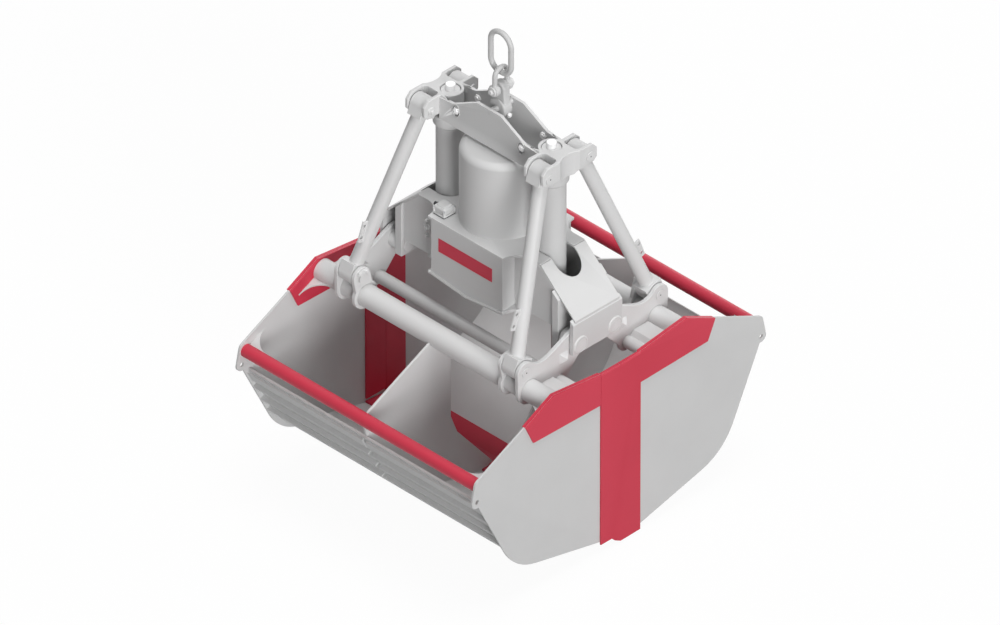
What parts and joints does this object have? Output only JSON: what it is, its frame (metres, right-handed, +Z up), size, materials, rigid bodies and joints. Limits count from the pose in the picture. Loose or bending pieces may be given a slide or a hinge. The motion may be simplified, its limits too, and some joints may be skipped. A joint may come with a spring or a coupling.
{
  "type": "electro-hydraulic grab",
  "caption": "Two-shell clamshell bucket grab with a central motor and oil tank, closing cylinders under a hinged head, and a master link for hanging.",
  "frame": {"origin": "inner crown of the master link, where the hook bears", "axes": "+Z up, X along the width of the shells and their tubes, Y across the shells; the rear shell is on +Y"},
  "size_m": [1.5246, 1.8726, 2.4277],
  "materials": {
    "grey_paint": "matt light grey paint",
    "light_paint": "matt light grey paint",
    "red_paint": "matt signal red paint",
    "bare_steel": "machined steel",
    "bright_steel": "bright hard chrome",
    "dark_iron": "dark cast iron",
    "bronze": "bearing bronze",
    "black_plastic": "matt plastic"
  },
  "bodies": {
    "master_link": {"master_link": "grey_paint"},
    "shackle": {"shackle_bow": "grey_paint", "shackle_pin": "grey_paint"},
    "suspension_link": {"suspension_link": "grey_paint", "lock_bolt": "bright_steel"},
    "head": {"head_plates": "grey_paint", "crossbar": "grey_paint", "head_brackets": "grey_paint", "head_bolts": "bare_steel", "upper_rod_pins": "bare_steel", "guard_tubes": "grey_paint", "piston_rods": "bright_steel"},
    "frame": {"tank_body": "grey_paint", "deck_plate": "light_paint", "wing_boxes": "grey_paint", "wing_covers": "light_paint", "cheek_plates": "grey_paint", "pivot_pins": "bare_steel", "motor_housing": "light_paint", "motor_stator": "dark_iron", "pump_housing": "dark_iron", "valve_block": "dark_iron", "suction_filter": "bare_steel", "cylinder_barrels": "bare_steel", "cylinder_glands": "bronze", "junction_box": "light_paint", "junction_screws": "bare_steel", "cable_gland": "black_plastic", "nameplate": "red_paint", "oil_fittings": "bare_steel"},
    "rotor": {"motor_rotor": "bare_steel", "shaft_coupling": "dark_iron", "pump_rotor": "bare_steel"},
    "shell_front": {"end_plates_front": "grey_paint", "bucket_wall_front": "grey_paint", "cutting_lip_front": "red_paint", "edge_bands_front": "red_paint", "top_bar_front": "red_paint", "cross_tubes_front": "grey_paint", "wall_ribs_front": "grey_paint", "centre_rib_front": "grey_paint", "arms_front": "grey_paint", "hub_bushes_front": "bronze", "low_rod_pins_front": "bare_steel"},
    "shell_rear": {"end_plates_rear": "grey_paint", "bucket_wall_rear": "grey_paint", "cutting_lip_rear": "red_paint", "edge_bands_rear": "red_paint", "top_bar_rear": "red_paint", "cross_tubes_rear": "grey_paint", "wall_ribs_rear": "grey_paint", "centre_rib_rear": "grey_paint", "arms_rear": "grey_paint", "hub_bushes_rear": "bronze", "low_rod_pins_rear": "bare_steel"},
    "rod_front_left_body": {"rod_front_left": "light_paint"},
    "rod_front_right_body": {"rod_front_right": "light_paint"},
    "rod_rear_left_body": {"rod_rear_left": "light_paint"},
    "rod_rear_right_body": {"rod_rear_right": "light_paint"}
  },
  "joints": [
    {"name": "shackle_swing", "type": "hinge", "parent": "master_link", "child": "shackle", "pos_m": [0, 0, -0.2008], "axis": [1, 0, 0], "range_deg": [-25, 25]},
    {"name": "link_swing", "type": "hinge", "parent": "shackle", "child": "suspension_link", "pos_m": [0, 0, -0.2833], "axis": [0, 1, 0], "range_deg": [-25, 25]},
    {"name": "head_swing", "type": "hinge", "parent": "suspension_link", "child": "head", "pos_m": [0, 0, -0.3873], "axis": [0, 1, 0], "range_deg": [-20, 20]},
    {"name": "frame_slide", "type": "slide", "parent": "head", "child": "frame", "axis": [0, 0, -1], "range_m": [0, 0.26]},
    {"name": "rotor_spin", "type": "hinge", "parent": "frame", "child": "rotor", "pos_m": [0, 0, -0.9923], "axis": [0, 0, 1], "continuous": true},
    {"name": "shell_rear_swing", "type": "hinge", "parent": "frame", "child": "shell_rear", "pos_m": [0, 0.109, -1.3333], "axis": [1, 0, 0], "range_deg": [0, 45.1]},
    {"name": "shell_front_swing", "type": "hinge", "parent": "frame", "child": "shell_front", "pos_m": [0, -0.109, -1.3333], "axis": [-1, 0, 0], "range_deg": [0, 45.1]},
    {"name": "rod_rear_left_pivot", "type": "hinge", "parent": "shell_rear", "child": "rod_rear_left_body", "pos_m": [-0.52, 0.426, -1.3453], "axis": [1, 0, 0], "range_deg": [-50.9, 0]},
    {"name": "rod_rear_right_pivot", "type": "hinge", "parent": "shell_rear", "child": "rod_rear_right_body", "pos_m": [0.52, 0.426, -1.3453], "axis": [1, 0, 0], "range_deg": [-50.9, 0]},
    {"name": "rod_front_left_pivot", "type": "hinge", "parent": "shell_front", "child": "rod_front_left_body", "pos_m": [-0.52, -0.426, -1.3453], "axis": [-1, 0, 0], "range_deg": [-50.9, 0]},
    {"name": "rod_front_right_pivot", "type": "hinge", "parent": "shell_front", "child": "rod_front_right_body", "pos_m": [0.52, -0.426, -1.3453], "axis": [-1, 0, 0], "range_deg": [-50.9, 0]}
  ],
  "couplings": [
    {"joint": "shell_rear_swing", "follows": "frame_slide", "rad_per_m": 3.02},
    {"joint": "shell_front_swing", "follows": "frame_slide", "rad_per_m": 3.02},
    {"joint": "rod_rear_left_pivot", "follows": "frame_slide", "rad_per_m": -3.41},
    {"joint": "rod_rear_right_pivot", "follows": "frame_slide", "rad_per_m": -3.41},
    {"joint": "rod_front_left_pivot", "follows": "frame_slide", "rad_per_m": -3.41},
    {"joint": "rod_front_right_pivot", "follows": "frame_slide", "rad_per_m": -3.41}
  ]
}
